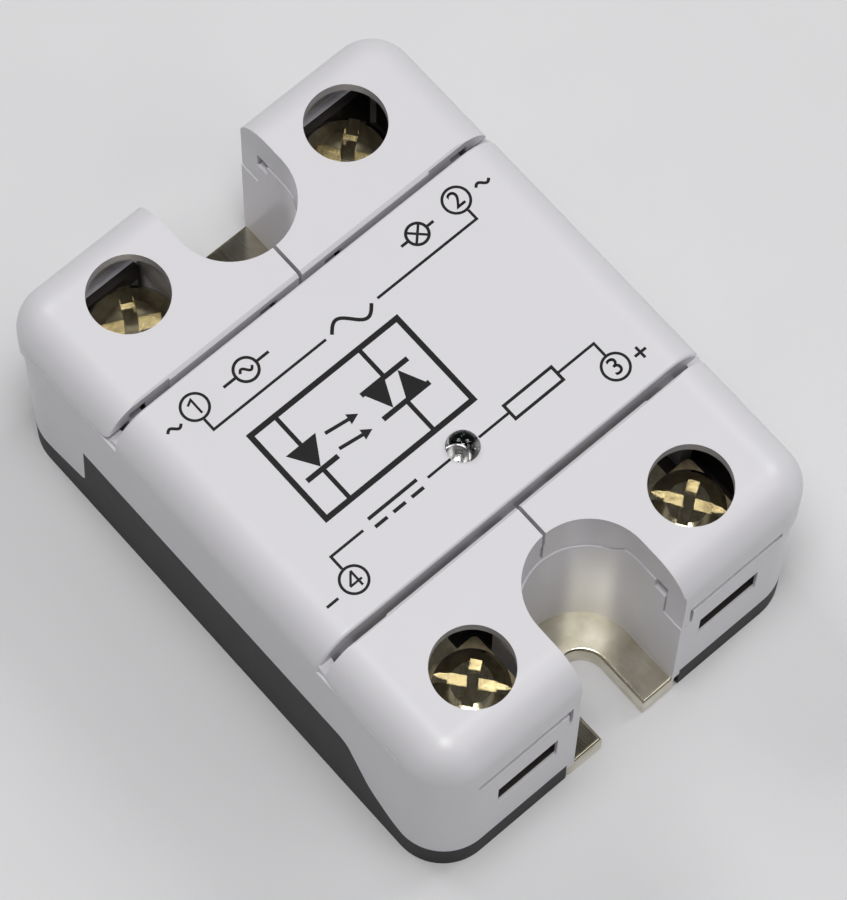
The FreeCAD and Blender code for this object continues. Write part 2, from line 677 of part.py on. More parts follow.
def make_covers():
    out = size("body_length / 2")
    half_wide = "body_width / 2"
    skin = wedge("cover_plain", ("-" + half_wide, half_wide), ("cover_near", "body_length / 2"),
                 ("below_cover", "cover_top"), "cover_drop")
    skin = round_edges("cover_corners", skin, "cover_round",
                       lambda edge: upright(edge) and abs(ends(edge)[0].y - out) < 1e-6)
    near = size("cover_near")
    crest = size("cover_top - cover_drop") - 1e-6

    def top_rim(edge):
        points = ends(edge)
        return min(point.z for point in points) > crest and not all(abs(p.y - near) < 1e-6 for p in points)

    skin = round_edges("cover_rounded", skin, "top_round", top_rim)
    inner_wide = "body_width / 2 - wall + 0.1"
    inner = wedge("cover_space_plain", ("-(%s)" % inner_wide, inner_wide),
                  ("cover_near - 2", "body_length / 2 - wall + 0.1"),
                  ("below_cover - 1", "cover_top - cover_skin + 0.1"), "cover_drop")
    inner_out = size("body_length / 2 - wall + 0.1")
    inner = round_edges("cover_space_corners", inner, "cover_round - wall",
                        lambda edge: upright(edge) and abs(ends(edge)[0].y - inner_out) < 1e-6)
    inner_crest = size("cover_top - cover_skin + 0.1 - cover_drop") - 1e-6

    def inner_rim(edge):
        points = ends(edge)
        return min(point.z for point in points) > inner_crest and max(point.y for point in points) > near

    inner = round_edges("cover_space_rounded", inner, "top_round - wall", inner_rim)
    skirt_ring = u_block("cover_ring", "notch_radius + skirt_thick", "0", "panel_top + 3")
    cavity = cut("cover_cavity", inner, skirt_ring)
    opening = fuse("cover_notches", [
        u_block("cover_notch", "notch_radius", "0", "panel_top + 3"),
        u_block("cover_notch_low", "notch_radius + notch_step", "0", "notch_line")])
    gap = size("seam_gap")
    side_seam = size("side_seam") + gap
    end_seam = size("end_seam") + gap
    inner_end = size("body_length / 2 - wall")
    turn_far = size("seam_turn")
    low = size("below_cover") - 2
    seam = profile("cover_seam", [
        (near - 1, low, 0), (near - 1, side_seam, 0), (turn_far, side_seam, 3), (inner_end, end_seam, 1.5),
        (out + 1, end_seam, 0), (out + 1, low, 0)], (-size("body_width"), size("body_width")))
    below = fuse("cover_below", [
        cut("cover_seam_sides", seam, skirt_ring),
        block("cover_low", ("-body_width", "body_width"), ("0", "latch_far"), ("0", "notch_seam + seam_gap")),
        block("cover_low_mouth", ("-body_width", "body_width"), ("0", "body_length"),
              ("0", "notch_mouth_seam + seam_gap"))])
    other_half = block("cover_other_half", ("-body_width", "slit_half"), ("0", "body_length"),
                       ("0", "panel_top + 5"))
    hole = rod("cover_hole", "z", "driver_hole / 2", ("terminal_side", "terminal_out"),
               ("below_cover", "panel_top + 1"))
    pry = block("pry_slit", ("pry_slit_near", "pry_slit_far"),
                ("body_length / 2 - wall - 0.5", "body_length / 2 + 1"), ("below_cover", "pry_slit_high"))
    latch_box = block("latch_box", ("notch_radius - 2", "notch_radius + notch_wall + 0.3"),
                      ("latch_near - 0.6", "latch_far"), ("below_cover", "latch_high"))
    latch = cut("latch_gap", latch_box, latch_arc("latch_gap_arc", "latch_swing"))
    heel_box = block("heel_box", ("body_width / 2 - wall - 0.6", "body_width / 2 + 1"),
                     ("cover_near - 1", "hinge_out"), ("side_seam - 1", "hinge_up"))
    heel_round = rod("heel_round", "x", "heel_radius", ("hinge_out", "hinge_up"),
                     ("body_width / 2 - wall - 2", "body_width / 2 + 2"))
    heel = cut("heel", heel_box, heel_round)
    rear_box = block("rear_box", ("-1", "body_width"), ("cover_near - 1", "hinge_out"),
                     ("hinge_up", "panel_top + 1"))
    rear_swing = rod("rear_swing", "x", "swing_radius", ("hinge_out", "hinge_up"), ("-2", "body_width + 1"))
    rear = cut("rear_round", rear_box, rear_swing)
    step = block("rear_step_cut", ("rear_step_from", "body_width"),
                 ("cover_near - 1", "cover_near + rear_step"), ("side_seam - 1", "panel_top + 1"))
    reliefs = [rear, step]
    for name in ("inner_post", "outer_post"):
        across = (name + " - 0.15", name + " + post_width + 0.15")
        behind = ("cover_near + cover_flange", "hinge_out + post_radius + 0.15")
        reliefs.append(block(name + "_relief", across, behind,
                             ("side_seam - 1", "hinge_up + post_radius + 0.15")))
        through = ("cover_near - 1", "cover_near + cover_flange + 0.1")
        reliefs.append(block(name + "_flange_relief", across, through,
                             ("side_seam - 1", "hinge_up + stem_back + 0.25")))
    flange = block("cover_flange_bar", ("slit_half", "body_width / 2 - 1.5"),
                   ("cover_near", "cover_near + cover_flange"),
                   ("cover_flange_low", "cover_top - cover_skin + 0.2"))
    hollow = cut("cover_hollow", skin, cavity, opening, below)
    solid = fuse("cover_body", [hollow, flange])
    shell = cut("cover_shell", solid, other_half, hole, pry, latch, heel, *reliefs)
    lugs = []
    inner_pin = ("inner_post + 0.1", "inner_post + post_width + lug_gap + 0.2")
    outer_pin = ("outer_post - lug_gap - 0.2", "outer_post + post_width - 0.1")
    for name, lug_start, pin in (("inner", "inner_post + post_width + lug_gap", inner_pin),
                                 ("outer", "outer_post - lug_gap - lug_width", outer_pin)):
        across = (lug_start, lug_start + " + lug_width")
        lugs.append(rod(name + "_lug", "x", "lug_radius", ("hinge_out", "hinge_up"), across))
        lugs.append(block(name + "_lug_root", across, ("hinge_out - lug_radius", "hinge_out + lug_radius"),
                          ("hinge_up", "cover_top - 1")))
        lugs.append(rod(name + "_pin", "x", "pin_radius", ("hinge_out", "hinge_up"), pin))
    right = node(fuse("load_cover_right", [shell] + lugs), "load_cover_right")
    left = node(mirrored("load_cover_left", right, (1, 0, 0)), "load_cover_left")
    node(mirrored("input_cover_right", right, (0, 1, 0)), "input_cover_right")
    node(mirrored("input_cover_left", left, (0, 1, 0)), "input_cover_left")


# ---------------------------------------------------------------- terminals
def terminal_place(end, side, z):
    out = "terminal_out" if end == "load" else "-terminal_out"
    return {"x": SIDES[side] + " * terminal_side", "y": out, "z": z}


def make_screw(end, side):
    """Pan head with a straight slot and a cross recess; local z 0 is under the head."""
    owner = body("%s_screw_%s" % (end, side))
    turned = sketch(owner, owner.Name + "_outline", role="XZ_Plane")
    head, high, thread, long = (end + text for text in ("_head", "_head_high", "_thread", "_long"))
    polygon(turned, [("0", high), (head + " * 0.55", high), (head + " * 0.86", high + " * 0.87"),
                     (head, high + " * 0.6"), (head, "0"), (thread, "0"), (thread, "0.8 - " + long),
                     (thread + " - 0.8", "-" + long), ("0", "-" + long)])
    revolve(owner, turned)
    slot = sketch(owner, owner.Name + "_slot", height=high)
    rectangle(slot, ("-" + head + " - 1", head + " + 1"), ("-" + head + " * 0.13", head + " * 0.13"))
    pocket(owner, slot, high + " * 0.42")
    cross = sketch(owner, owner.Name + "_cross", height=high)
    arm, thin = head + " * 0.62", head + " * 0.15"
    polygon(cross, [
        (arm, "-" + thin), (arm, thin), (thin, thin), (thin, arm), ("-" + thin, arm), ("-" + thin, thin),
        ("-" + arm, thin), ("-" + arm, "-" + thin), ("-" + thin, "-" + thin), ("-" + thin, "-" + arm),
        (thin, "-" + arm), (thin, "-" + thin)])
    pocket(owner, cross, high + " * 0.62")
    under = "bay_floor_top + {0}_strip + {0}_clamp + {0}_washer + {0}_lift".format(end)
    put(owner, turn=SLOT_TURNS[end, side], **terminal_place(end, side, under))
    node(owner, owner.Label)


SLOT_TURNS = {("load", "left"): 62, ("load", "right"): 38, ("input", "left"): -52, ("input", "right"): -57}


def make_clamp(end, side):
    """Square plate with a bent-down lip on the inner side and three wire grooves underneath."""
    owner = body("%s_clamp_%s" % (end, side))
    half = "strip_width / 2"
    plate = sketch(owner, owner.Name + "_outline")
    rectangle(plate, ("-" + half, half), ("-(%s)" % half, half))
    slab = pad(owner, plate, end + "_clamp")
    fillet(owner, slab, "0.6", upright)
    hole = sketch(owner, owner.Name + "_hole", height=end + "_clamp")
    circle(hole, "0", "0", "%s_thread + 0.1" % end)
    pocket(owner, hole, end + "_clamp")
    grooves = sketch(owner, owner.Name + "_grooves")
    for place in ("-3.3", "-2.7 + 5.6"):
        rectangle(grooves, ("-%s - 1" % half, half + " + 1"), (place, place + " + 0.4"))
    pocket(owner, grooves, "0.3", upward=True)
    under = "bay_floor_top + {0}_strip + {0}_lift".format(end)
    put(owner, **terminal_place(end, side, under))
    node(owner, owner.Label)


def make_washer(end, side):
    """Split spring washer."""
    owner = body("%s_washer_%s" % (end, side))
    ring = sketch(owner, owner.Name + "_ring")
    circle(ring, "0", "0", "%s_head - 0.1" % end)
    circle(ring, "0", "0", "%s_thread + 0.1" % end)
    pad(owner, ring, end + "_washer")
    split = sketch(owner, owner.Name + "_split", height=end + "_washer")
    rectangle(split, ("0", "%s_head + 1" % end), ("-0.3", "0.3"))
    pocket(owner, split, end + "_washer")
    under = "bay_floor_top + {0}_strip + {0}_clamp + {0}_lift".format(end)
    put(owner, turn=140, **terminal_place(end, side, under))
    node(owner, owner.Label)


def make_terminal(end, side):
    """Current strip: flat under the clamp, through the bulkhead, then down to its pad or up to the board."""
    owner = body("%s_terminal_%s" % (end, side))
    thick = end + "_strip"
    view = sketch(owner, owner.Name + "_side", role="YZ_Plane")
    top = "bay_floor_top + " + thick
    if end == "load":
        foot = "plate_thick + ceramic_thick + pad_thick"
        polygon(view, [
            ("strip_end", "bay_floor_top"), ("strip_end", top), ("strip_bend", top),
            ("strip_bend", foot + " + " + thick), ("strip_foot", foot + " + " + thick), ("strip_foot", foot),
            ("strip_bend + " + thick, foot), ("strip_bend + " + thick, "bay_floor_top")])
    else:
        tab_top = "board_under + board_thick + 1"
        polygon(view, [
            ("-strip_end", "bay_floor_top"), ("-strip_end", top), ("-strip_bend - " + thick, top),
            ("-strip_bend - " + thick, tab_top), ("-strip_bend", tab_top), ("-strip_bend", "bay_floor_top")])
    pad(owner, view, "strip_width - 0.4", centred=True)
    hole = sketch(owner, owner.Name + "_hole", height=top)
    out = "terminal_out" if end == "load" else "-terminal_out"
    circle(hole, "0", out, "%s_thread + thread_clearance" % end)
    pocket(owner, hole, thick)
    if end == "input":
        for number, (low, high) in enumerate((("-5", "-1.2"), ("1.2", "5"))):
            trim = sketch(owner, "%s_trim_%d" % (owner.Name, number), height="board_under + board_thick + 2")
            rectangle(trim, (low, high), ("-10", "-7"))
            pocket(owner, trim, "board_thick + 2.6")
    put(owner, x=SIDES[side] + " * terminal_side")
    node(owner, owner.Label)


def make_nuts(end):
    """The pair of square nuts under one end's strips."""
    nut = "%s_nut" % end
    solids = []
    for side, sign in SIDES.items():
        middle = sign + " * terminal_side"
        out = "terminal_out" if end == "load" else "-terminal_out"
        square = block("%s_%s" % (nut, side), ("%s - %s / 2" % (middle, nut), "%s + %s / 2" % (middle, nut)),
                       ("%s - %s / 2" % (out, nut), "%s + %s / 2" % (out, nut)),
                       ("bay_floor_top - %s_thick + 0.05" % nut, "bay_floor_top"))
        bore = rod("%s_bore_%s" % (nut, side), "z", "%s_thread + thread_clearance" % end, (middle, out),
                   ("5", "bay_floor_top + 1"))
        solids.append(cut("%s_cut_%s" % (nut, side), square, bore))
    node(fuse("%ss" % nut, solids), "%ss" % nut)


# ---------------------------------------------------------------- power stage
def make_plate_piece(label, x, y, low, thick, holes=(), soft="0"):
    """A flat rectangular piece with optional round or square openings."""
    owner = body(label)
    outline = sketch(owner, label + "_outline", height=low)
    rectangle(outline, x, y)
    slab = pad(owner, outline, thick)
    if soft != "0":
        fillet(owner, slab, soft, upright)
    for number, hole in enumerate(holes):
        opening = sketch(owner, "%s_opening_%d" % (label, number), height="(%s) + (%s)" % (low, thick))
        hole(opening)
        pocket(owner, opening, thick)
    return node(owner, label)


def make_power_stage():
    make_plate_piece("ceramic_substrate", ("-ceramic_long / 2", "ceramic_long / 2"),
                     ("-ceramic_wide / 2", "ceramic_wide / 2"), "plate_thick", "ceramic_thick", soft="0.5")
    pad_low = "plate_thick + ceramic_thick"
    chip_low = pad_low + " + pad_thick"
    for side, sign, chip_out in (("left", "-1", "-5.4"), ("right", "1", "2.2")):
        across = sorted((sign + " * 0.8", sign + " * 16"), key=size)
        make_plate_piece("copper_pad_" + side, across, ("-9.6", "10"), pad_low, "pad_thick", soft="0.5")
        middle = sign + " * 8"
        chip_x = (middle + " - chip_side / 2", middle + " + chip_side / 2")
        chip_y = (chip_out + " - chip_side / 2", chip_out + " + chip_side / 2")
        make_plate_piece("thyristor_chip_" + side, chip_x, chip_y, chip_low, "chip_thick")
        owner = body("cathode_jumper_" + side)
        view = sketch(owner, owner.Name + "_side", role="XZ_Plane")
        top = chip_low + " + chip_thick"
        rise = top + " + 1.2"
        thick = "jumper_thick"
        inner, start, landing = (sign + " * " + text for text in ("4.2", "9.6", "(-3.4)"))
        heel = sign + " * 5.0"
        polygon(view, [(start, top), (start, "%s + %s" % (top, thick)), (inner, "%s + %s" % (top, thick)),
                       (inner, rise), (sign + " * (-2.0)", rise),
                       (sign + " * (-2.0)", chip_low + " + jumper_thick"),
                       (landing, chip_low + " + jumper_thick"), (landing, chip_low),
                       (sign + " * (-1.4)", chip_low), (sign + " * (-1.4)", rise + " - jumper_thick"),
                       (sign + " * 3.6", rise + " - jumper_thick"), (sign + " * 3.6", top)])
        pad(owner, view, "3", centred=True)
        put(owner, y=chip_out)
        node(owner, owner.Label)


# ---------------------------------------------------------------- control stage
LEAD_PLACES = (("-14.6", "-6"), ("-12.6", "-6"), ("12.6", "-4.5"), ("14.6", "-4.5"))


def leads(name, places, radius, low, high):
    return [rod("%s_%d" % (name, i), "z", radius, place, (low, high)) for i, place in enumerate(places)]


def make_board():
    def lead_hole(x, y):
        return lambda item: circle(item, x, y, "0.45")

    def tab_hole(sign):
        middle = sign + " * terminal_side"
        return lambda item: rectangle(item, (middle + " - 1.3", middle + " + 1.3"), ("-9.1", "-7.9"))

    holes = [lead_hole(x, y) for x, y in LEAD_PLACES]
    holes += [tab_hole(sign) for sign in SIDES.values()]
    make_plate_piece("control_board", ("-board_wide / 2", "board_wide / 2"),
                     ("-board_long / 2", "board_long / 2"), "board_under", "board_thick",
                     holes=holes, soft="1")


BOARD_TOP = "board_under + board_thick"


def axial_part(label, x, y, radius, long, lift):
    """A cylindrical body lying along Y, with a bent lead at each end."""
    height = "%s + %s" % (BOARD_TOP, lift)
    half = "(%s) / 2" % long
    solid = round_edges(label + "_soft", rod(label + "_solid", "y", radius, (x, height),
                        ("%s - %s" % (y, half), "%s + %s" % (y, half))), "0.4", lambda edge: edge.Closed)
    wire = rod(label + "_wire", "y", "0.3", (x, height),
               ("%s - %s - 1.3" % (y, half), "%s + %s + 1.3" % (y, half)))
    legs = [rod("%s_leg_%d" % (label, i), "z", "0.4", (x, "%s %s (%s + 1.3)" % (y, sign, half)),
                (BOARD_TOP, height + " + 0.45")) for i, sign in enumerate("+-")]
    node(fuse(label, [solid, wire] + legs), label)


def make_control_stage():
    low = "plate_thick + ceramic_thick + pad_thick"
    node(fuse("gate_leads", leads("gate_lead", LEAD_PLACES, "0.35", low, BOARD_TOP + " + 1.2")), "gate_leads")
    axial_part("input_resistor", "-4.6", "-5.5", "1.15", "6.3", "1.3")
    axial_part("gate_resistor_left", "-16.6", "2", "0.9", "5", "1.1")
    axial_part("gate_resistor_right", "16.6", "2", "0.9", "5", "1.1")
    axial_part("snubber_resistor", "5.0", "-5.5", "1.4", "7", "1.6")
    axial_part("protection_diode", "8.8", "-5.5", "1.3", "5", "1.5")

    chip = block("opto_body", ("-4.4", "4.4"), ("0.6", "7.0"), (BOARD_TOP + " + 0.5", BOARD_TOP + " + 4"))
    pins = []
    for i, x in enumerate(("-2.54", "0", "2.54")):
        for j, (near, far) in enumerate((("-0.1", "0.9"), ("6.7", "7.7"))):
            pins.append(block("opto_pin_%d_%d" % (i, j), (x + " - 0.4", x + " + 0.4"), (near, far),
                              (BOARD_TOP, BOARD_TOP + " + 2")))
    node(fuse("optocoupler", [chip] + pins), "optocoupler")

    film = block("film_box", ("-14.4", "-6.4"), ("1.6", "7.2"), (BOARD_TOP + " + 0.4", BOARD_TOP + " + 8.6"))
    film = round_edges("film_soft", film, "0.5", upright)
    node(fuse("snubber_capacitor", [film] + leads("film_lead", (("-12.9", "4.4"), ("-7.9", "4.4")), "0.35",
                                                  BOARD_TOP, BOARD_TOP + " + 1")), "snubber_capacitor")
    disc = rod("disc", "y", "4.2", ("10.6", BOARD_TOP + " + 4.8"), ("2.4", "6.0"))
    disc = round_edges("disc_soft", disc, "0.9", lambda edge: edge.Closed)
    node(fuse("varistor", [disc] + leads("disc_lead", (("8.1", "4.2"), ("13.1", "4.2")), "0.35",
                                         BOARD_TOP, BOARD_TOP + " + 2.6")), "varistor")


def make_led():
    owner = body("status_led")
    half = sketch(owner, "led_half", role="XZ_Plane")
    shoulder = "panel_top + led_rise - led_radius"
    polygon(half, [("0", "led_under"), ("led_radius", "led_under"), ("led_radius", shoulder),
                   ("0", shoulder)])
    revolve(owner, half)
    dome = sketch(owner, "led_dome", role="XZ_Plane")
    middle = size(shoulder)
    radius = size("led_radius")
    dome.addGeometry(Part.LineSegment(V(0, middle, 0), V(radius, middle, 0)))
    dome.addGeometry(Part.LineSegment(V(0, middle + radius, 0), V(0, middle, 0)))
    dome.addGeometry(Part.ArcOfCircle(Part.Circle(V(0, middle, 0), V(0, 0, 1), radius), 0, math.pi / 2))
    dome.addConstraint(Sketcher.Constraint("Coincident", 0, 1, 1, 2))
    dome.addConstraint(Sketcher.Constraint("Coincident", 0, 2, 2, 1))
    dome.addConstraint(Sketcher.Constraint("Coincident", 1, 1, 2, 2))
    dome.addConstraint(Sketcher.Constraint("Coincident", 0, 1, 2, 3))
    dome.addConstraint(Sketcher.Constraint("PointOnObject", 0, 1, -2))
    dome.addConstraint(Sketcher.Constraint("Horizontal", 0))
    number = dome.addConstraint(Sketcher.Constraint("DistanceY", -1, 1, 0, 1, middle))
    dome.setExpression("Constraints[%d]" % number, formula(shoulder))
    number = dome.addConstraint(Sketcher.Constraint("Radius", 2, radius))
    dome.setExpression("Constraints[%d]" % number, formula("led_radius"))
    revolve(owner, dome)
    put(owner, y="-led_back")
    node(owner, "status_led")
    places = (("-1.27 / 2", "-led_back"), ("1.27 / 2", "-led_back"))
    node(fuse("led_leads", leads("led_lead", places, "0.25", BOARD_TOP, "led_under")), "led_leads")


# ---------------------------------------------------------------- assembly
make_base_plate()
outside = rounded_block("outside", "0", ("0", "side_seam"))
lower_frame = make_lower_frame(outside)
make_upper_housing(outside, lower_frame)
make_covers()
for end in ("load", "input"):
    for side in SIDES:
        make_terminal(end, side)
        make_clamp(end, side)
        make_washer(end, side)
        make_screw(end, side)
    make_nuts(end)
    make_carriers(end)
make_power_stage()
make_board()
make_control_stage()
make_led()

doc.recompute()
for item in doc.Objects:
    if "Invalid" in item.State or "Error" in item.State:
        raise RuntimeError("failed: " + item.Name)
for item in nodes:
    if item.Shape.isNull() or not item.Shape.isValid():
        raise RuntimeError("bad shape: " + item.Label)

os.makedirs("parts", exist_ok=True)
for item in nodes:
    item.Shape.exportStep("parts/%s.step" % item.Label)
    print(item.Label, len(item.Shape.Solids), round(item.Shape.Volume, 2))
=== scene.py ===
import json
import math

import bmesh
import bpy
from mathutils import Matrix, Vector


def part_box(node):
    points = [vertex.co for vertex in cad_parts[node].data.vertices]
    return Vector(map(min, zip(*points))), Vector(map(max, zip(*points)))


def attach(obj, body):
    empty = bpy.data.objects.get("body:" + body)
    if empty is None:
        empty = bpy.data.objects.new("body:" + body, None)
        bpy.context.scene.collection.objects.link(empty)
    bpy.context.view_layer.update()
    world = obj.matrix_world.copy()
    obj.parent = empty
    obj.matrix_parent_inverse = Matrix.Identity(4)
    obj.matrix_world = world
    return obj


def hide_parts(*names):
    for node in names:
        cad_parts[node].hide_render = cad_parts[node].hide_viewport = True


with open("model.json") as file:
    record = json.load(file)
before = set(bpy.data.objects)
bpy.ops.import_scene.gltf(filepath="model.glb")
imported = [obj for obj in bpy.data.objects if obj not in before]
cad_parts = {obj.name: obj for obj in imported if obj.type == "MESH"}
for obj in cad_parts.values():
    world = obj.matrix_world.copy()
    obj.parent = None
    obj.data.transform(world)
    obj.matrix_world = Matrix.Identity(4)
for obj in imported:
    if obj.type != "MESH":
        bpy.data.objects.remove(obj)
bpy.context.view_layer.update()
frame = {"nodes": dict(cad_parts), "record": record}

MM = 0.001
NODES = frame["nodes"]
SCENE = bpy.context.scene


# ---------------------------------------------------------------- shader helpers
class Paint:
    """A node material built step by step; every coordinate is the object's own, in millimetres."""

    def __init__(self, name, **settings):
        self.material = bpy.data.materials.new(name)
        self.material.use_nodes = True
        self.tree = self.material.node_tree
        self.shader = self.tree.nodes["Principled BSDF"]
        for socket, value in settings.items():
            self.shader.inputs[socket.replace("_", " ")].default_value = value
        place = self.add("ShaderNodeTexCoord")
        scale = self.add("ShaderNodeMapping")
        scale.inputs["Scale"].default_value = (1 / MM,) * 3
        self.link(place.outputs["Object"], scale.inputs["Vector"])
        self.place = scale.outputs["Vector"]

    def add(self, kind, **settings):
        node = self.tree.nodes.new(kind)
        for name, value in settings.items():
            setattr(node, name, value)
        return node

    def link(self, start, finish):
        self.tree.links.new(start, finish)

    def stretched(self, scale):
        node = self.add("ShaderNodeMapping")
        node.inputs["Scale"].default_value = scale
        self.link(self.place, node.inputs["Vector"])
        return node.outputs["Vector"]

    def noise(self, scale, detail=3, roughness=0.55, place=None):
        node = self.add("ShaderNodeTexNoise")
        node.inputs["Scale"].default_value = scale
        node.inputs["Detail"].default_value = detail
        node.inputs["Roughness"].default_value = roughness
        self.link(place or self.place, node.inputs["Vector"])
        return node.outputs["Fac"]

    def between(self, value, low, high, start=0.35, finish=0.65):
        node = self.add("ShaderNodeMapRange")
        for socket, amount in (("From Min", start), ("From Max", finish), ("To Min", low), ("To Max", high)):
            node.inputs[socket].default_value = amount
        self.link(value, node.inputs["Value"])
        return node.outputs["Result"]

    def mixed(self, value, first, second, start=0.35, finish=0.65):
        node = self.add("ShaderNodeMix", data_type="RGBA")
        self.link(self.between(value, 0, 1, start, finish), node.inputs["Factor"])
        node.inputs["A"].default_value = (*first, 1)
        node.inputs["B"].default_value = (*second, 1)
        return node.outputs["Result"]

    def colour(self, output):
        self.link(output, self.shader.inputs["Base Color"])

    def rough(self, output):
        self.link(output, self.shader.inputs["Roughness"])

    def bump(self, output, depth, distance=0.05 * MM):
        node = self.add("ShaderNodeBump")
        node.inputs["Strength"].default_value = depth
        node.inputs["Distance"].default_value = distance
        self.link(output, node.inputs["Height"])
        self.link(node.outputs["Normal"], self.shader.inputs["Normal"])


def srgb(red, green, blue):
    """Linear colour from the usual 0 to 255 scale."""
    return tuple(c / 12.92 if c <= 0.04045 else ((c + 0.055) / 1.055) ** 2.4
                 for c in (red / 255, green / 255, blue / 255))


def moulded_plastic(name, colour, rough, grain, shine=0.5):
    """Moulded plastic: a fine spark-eroded grain, slow tone drift and slightly uneven gloss."""
    paint = Paint(name, IOR=1.49, Specular_IOR_Level=shine)
    drift = paint.noise(0.09, 2)
    darker = tuple(c * 0.98 for c in colour)
    paint.colour(paint.mixed(drift, darker, colour, 0.2, 0.8))
    paint.rough(paint.between(paint.noise(0.4, 2), rough - 0.015, rough + 0.015, 0.2, 0.8))
    paint.bump(paint.noise(4.0, 2, 0.5), grain)
    return paint.material


def nickel_plate():
    """Nickel over rolled sheet: long faint rolling lines and cloudy patches."""
    paint = Paint("nickel", Metallic=1.0, Anisotropic=0.35)
    cloud = paint.noise(0.35, 4)
    paint.colour(paint.mixed(cloud, (0.50, 0.46, 0.34), (0.70, 0.66, 0.54)))
    lines = paint.noise(1.0, 5, 0.7, paint.stretched((7.0, 0.25, 7.0)))
    paint.rough(paint.between(lines, 0.12, 0.2))
    paint.bump(lines, 0.04)
    return paint.material


def zinc(name, dark, light, rough, depth=0.15):
    """Chromated zinc on steel: a warm, cloudy film over a fine drawn or turned surface."""
    paint = Paint(name, Metallic=1.0)
    cloud = paint.noise(0.8, 4)
    paint.colour(paint.mixed(cloud, dark, light))
    fine = paint.noise(9.0, 3, 0.6)
    paint.rough(paint.between(fine, rough - 0.05, rough + 0.07))
    paint.bump(fine, depth, 0.02 * MM)
    return paint.material


def speckled(name, first, second, rough, scale=3.0, metallic=0.0, depth=0.2):
    paint = Paint(name, Metallic=metallic)
    spots = paint.noise(scale, 3)
    paint.colour(paint.mixed(spots, first, second))
    paint.rough(paint.between(spots, rough - 0.05, rough + 0.05))
    paint.bump(spots, depth, 0.02 * MM)
    return paint.material


def clear_epoxy():
    paint = Paint("clear_epoxy", IOR=1.53, Roughness=0.02, Transmission_Weight=1.0)
    paint.colour(paint.mixed(paint.noise(0.6, 2), (0.93, 0.94, 0.95), (0.98, 0.985, 0.99)))
    return paint.material


def ink():
    paint = Paint("ink", IOR=1.45, Specular_IOR_Level=0.3)
    paint.colour(paint.mixed(paint.noise(5.0, 3), srgb(17, 16, 17), srgb(26, 24, 25)))
    paint.rough(paint.between(paint.noise(3.0, 3), 0.42, 0.55))
    return paint.material


WHITE = moulded_plastic("white_abs", (0.80, 0.785, 0.815), 0.33, 0.014)
DARK = moulded_plastic("dark_abs", (0.012, 0.0125, 0.013), 0.5, 0.12, 0.15)
# Painted shade: the inner carriers get a near-black brown so the driver holes and wire windows read dark.
SHADE_DARK_CARRIER = moulded_plastic("carrier_painted_shade", (0.046, 0.039, 0.036), 0.42, 0.1, 0.3)
NICKEL = nickel_plate()
SCREW = zinc("yellow_zinc", (0.38, 0.33, 0.21), (0.58, 0.52, 0.35), 0.13, 0.1)
CLAMP = zinc("clamp_zinc", (0.36, 0.29, 0.17), (0.58, 0.50, 0.33), 0.34)
STEEL = zinc("washer_zinc", (0.45, 0.38, 0.24), (0.66, 0.58, 0.40), 0.3)
BRASS = zinc("tinned_brass", (0.50, 0.44, 0.30), (0.70, 0.65, 0.48), 0.32)
COPPER = speckled("copper", (0.62, 0.28, 0.15), (0.80, 0.42, 0.26), 0.35, metallic=1.0)
TINNED = speckled("tinned_wire", (0.55, 0.54, 0.52), (0.75, 0.74, 0.72), 0.3, metallic=1.0)
ALUMINA = speckled("alumina", (0.80, 0.79, 0.74), (0.90, 0.89, 0.85), 0.6)
BOARD = speckled("solder_mask", (0.02, 0.13, 0.05), (0.03, 0.20, 0.08), 0.3)
SILICON = speckled("silicon", (0.05, 0.055, 0.07), (0.10, 0.11, 0.13), 0.2, metallic=0.6)
RESISTOR = speckled("resistor_lacquer", (0.50, 0.38, 0.24), (0.62, 0.50, 0.34), 0.4)
EPOXY = speckled("black_epoxy", (0.012, 0.012, 0.013), (0.025, 0.025, 0.026), 0.5)
OPTO = speckled("opto_epoxy", (0.66, 0.65, 0.61), (0.78, 0.77, 0.73), 0.5)
FILM = speckled("film_box", (0.45, 0.05, 0.03), (0.60, 0.08, 0.05), 0.25)
VARISTOR = speckled("varistor_lacquer", (0.03, 0.12, 0.36), (0.06, 0.19, 0.46), 0.25)
CLEAR = clear_epoxy()
INK = ink()

SLOT_PAINT = {
    "plate_nickel": NICKEL, "dark_plastic": DARK, "white_plastic": WHITE, "alumina": ALUMINA,
    "board_green": BOARD, "copper": COPPER, "silicon": SILICON, "resistor_body": RESISTOR,
    "black_epoxy": EPOXY, "white_epoxy": OPTO, "film_box": FILM, "varistor_blue": VARISTOR,
    "led_clear": CLEAR, "tinned_wire": TINNED, "zinc_steel": STEEL, "tinned_brass": BRASS,
    "brass_plate": CLAMP, "screw_brass": SCREW,
}


def paint_frame():
    """Gives every carried-over CAD node its material."""
    for part in frame["record"]["subparts"]:
        mesh = NODES[part["node"]].data
        mesh.materials.clear()
        # Carrier nodes take the painted-shade dark brown instead of their slot's material.
        mesh.materials.append(SHADE_DARK_CARRIER if "_carrier_" in part["node"] else SLOT_PAINT[part["material_slot"]])


# ---------------------------------------------------------------- print on the panel
# Places and widths of print are in millimetres; places are from the middle of the panel.
PANEL_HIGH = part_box("upper_housing")[1]
PANEL_TOP = PANEL_HIGH.z / MM
PANEL_HALF = PANEL_HIGH.x / MM
EDGE_ROUND = 4.0
INK_LIFT = 0.03

# Widths of the printed strokes, thinnest first.
NUMERAL = 0.22
CROSS = 0.24
LINE = 0.26
MARK = 0.27
SIGN = 0.28
BOX = 0.3
CURRENT = 0.34
LEAD = 0.42
BAR = 0.5
BOLD = 0.55

